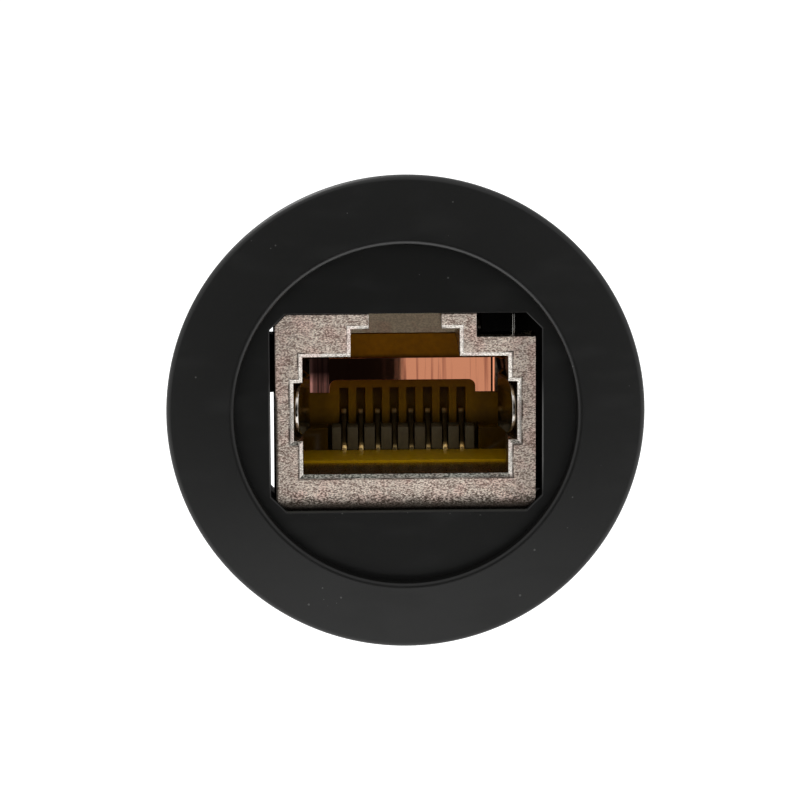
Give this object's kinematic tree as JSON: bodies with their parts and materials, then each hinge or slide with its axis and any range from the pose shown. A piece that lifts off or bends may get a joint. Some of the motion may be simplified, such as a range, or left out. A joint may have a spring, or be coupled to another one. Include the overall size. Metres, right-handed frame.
{
  "type": "panel-mount modular jack coupler",
  "caption": "Round black panel-mount coupler with shielded modular jacks front and rear, held in a panel hole by a threaded barrel, gasket and ring nut.",
  "frame": {"origin": "centre of the panel hole, on the rear face of the gasket, where the part sits on the panel", "axes": "+Y along the barrel axis into the panel, the front socket looks towards -Y, the latch side is +Z"},
  "size_m": [0.028, 0.0267, 0.028],
  "materials": {
    "black_plastic": "fine satin moulded black",
    "gasket_rubber": "matt black",
    "nickel_casting": "grainy satin nickel plate on die-cast zinc",
    "plated_steel": "bright zinc plate",
    "amber_plastic": "slightly translucent amber",
    "comb_plastic": "matt grey beige",
    "copper_spring": "bright rolled copper alloy",
    "board_laminate": "green solder mask",
    "gold_contact": "bright gold flash"
  },
  "bodies": {
    "root": {"bezel_body": "black_plastic", "panel_nut": "black_plastic", "panel_gasket": "gasket_rubber", "front_housing": "nickel_casting", "rear_housing": "nickel_casting", "housing_screws": "plated_steel", "front_insulator": "amber_plastic", "rear_insulator": "amber_plastic", "front_wire_comb": "comb_plastic", "rear_wire_comb": "comb_plastic", "front_shield_spring": "copper_spring", "rear_shield_spring": "copper_spring", "circuit_board": "board_laminate", "ground_clip": "plated_steel", "front_contact_1": "gold_contact", "front_contact_2": "gold_contact", "front_contact_3": "gold_contact", "front_contact_4": "gold_contact", "front_contact_5": "gold_contact", "front_contact_6": "gold_contact", "front_contact_7": "gold_contact", "front_contact_8": "gold_contact", "rear_contact_1": "gold_contact", "rear_contact_2": "gold_contact", "rear_contact_3": "gold_contact", "rear_contact_4": "gold_contact", "rear_contact_5": "gold_contact", "rear_contact_6": "gold_contact", "rear_contact_7": "gold_contact", "rear_contact_8": "gold_contact"}
  },
  "joints": []
}
